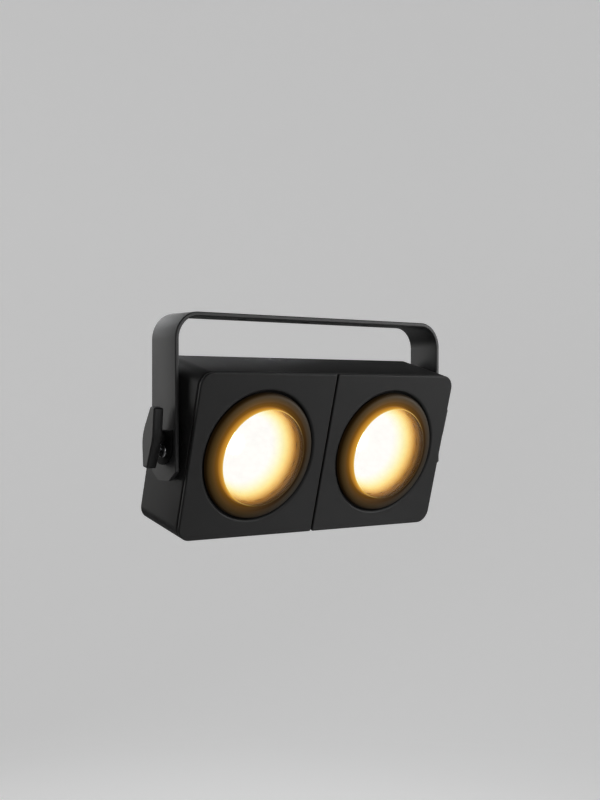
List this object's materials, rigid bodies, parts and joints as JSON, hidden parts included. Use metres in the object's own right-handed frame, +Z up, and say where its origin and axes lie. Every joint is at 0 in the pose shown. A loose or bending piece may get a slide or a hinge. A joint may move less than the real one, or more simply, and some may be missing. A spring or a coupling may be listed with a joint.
{
  "type": "audience blinder light",
  "caption": "Wide twin-pod stage blinder with domed warm-white lenses, hung in a flat-strap yoke that it tilts in, with clamping knobs and a rear connector box.",
  "frame": {"origin": "centre of the clamp hole, on the top face of the yoke's bar", "axes": "+X to the right of someone who faces the lenses, along the bar; +Y to the back; +Z up, out of the bar's top face, towards the clamp"},
  "size_m": [0.466, 0.1651, 0.2647],
  "materials": {
    "coated_steel": "matte",
    "coated_aluminium": "matte",
    "moulded_black": "satin",
    "black_plate": "matte",
    "bezel_black": "satin",
    "chrome": "polished",
    "steel": "satin",
    "aluminium": "satin",
    "anodised": "satin",
    "reflector": "polished",
    "rubber": "matte",
    "lens": "gloss",
    "emitter": "matte",
    "circuit": "satin",
    "blue_plastic": "satin",
    "grey_plastic": "satin",
    "display": "gloss"
  },
  "bodies": {
    "yoke": {"yoke_bracket": "coated_steel", "left_lock_plate": "black_plate", "right_lock_plate": "black_plate", "left_lock_screw": "chrome", "right_lock_screw": "chrome"},
    "head": {"main_housing": "coated_aluminium", "cover_gasket": "rubber", "left_front_cover": "coated_aluminium", "right_front_cover": "coated_aluminium", "left_bezel_ring": "bezel_black", "right_bezel_ring": "bezel_black", "left_lens": "lens", "right_lens": "lens", "left_lens_gasket": "rubber", "right_lens_gasket": "rubber", "left_lens_holder": "black_plate", "right_lens_holder": "black_plate", "left_reflector": "reflector", "right_reflector": "reflector", "left_led_emitter": "emitter", "right_led_emitter": "emitter", "left_led_board": "aluminium", "right_led_board": "aluminium", "left_heat_sink": "anodised", "right_heat_sink": "anodised", "left_led_lead": "rubber", "right_led_lead": "rubber", "led_driver": "aluminium", "vent_plug": "black_plate", "connector_box": "coated_aluminium", "rear_panel": "coated_aluminium", "control_board": "circuit", "display_window": "display", "safety_eye": "steel", "power_inlet": "blue_plastic", "power_outlet": "grey_plastic", "data_inlet": "moulded_black", "data_outlet": "moulded_black", "rear_panel_screw_1": "steel", "rear_panel_screw_2": "steel", "rear_panel_screw_3": "steel", "rear_panel_screw_4": "steel", "left_pivot_boss": "steel", "right_pivot_boss": "steel", "left_friction_washer": "black_plate", "right_friction_washer": "black_plate"},
    "left_knob": {"left_tilt_knob": "moulded_black", "left_knob_stud": "steel"},
    "right_knob": {"right_tilt_knob": "moulded_black", "right_knob_stud": "steel"},
    "button_1": {"menu_button_1": "rubber"},
    "button_2": {"menu_button_2": "rubber"},
    "button_3": {"menu_button_3": "rubber"},
    "button_4": {"menu_button_4": "rubber"}
  },
  "joints": [
    {"name": "head_tilt", "type": "hinge", "parent": "yoke", "child": "head", "pos_m": [0, 0, -0.144], "axis": [1, 0, 0], "range_deg": [-105, 75]},
    {"name": "left_knob_turn", "type": "hinge", "parent": "head", "child": "left_knob", "pos_m": [-0.226, 0, -0.144], "axis": [1, 0, 0], "range_deg": [-270, 0]},
    {"name": "right_knob_turn", "type": "hinge", "parent": "head", "child": "right_knob", "pos_m": [0.226, 0, -0.144], "axis": [1, 0, 0], "range_deg": [0, 270]},
    {"name": "button_1_press", "type": "slide", "parent": "head", "child": "button_1", "axis": [0, -0.9659, -0.2588], "range_m": [0, 0.001], "stiffness_N_per_m": 400},
    {"name": "button_2_press", "type": "slide", "parent": "head", "child": "button_2", "axis": [0, -0.9659, -0.2588], "range_m": [0, 0.001], "stiffness_N_per_m": 400},
    {"name": "button_3_press", "type": "slide", "parent": "head", "child": "button_3", "axis": [0, -0.9659, -0.2588], "range_m": [0, 0.001], "stiffness_N_per_m": 400},
    {"name": "button_4_press", "type": "slide", "parent": "head", "child": "button_4", "axis": [0, -0.9659, -0.2588], "range_m": [0, 0.001], "stiffness_N_per_m": 400}
  ]
}
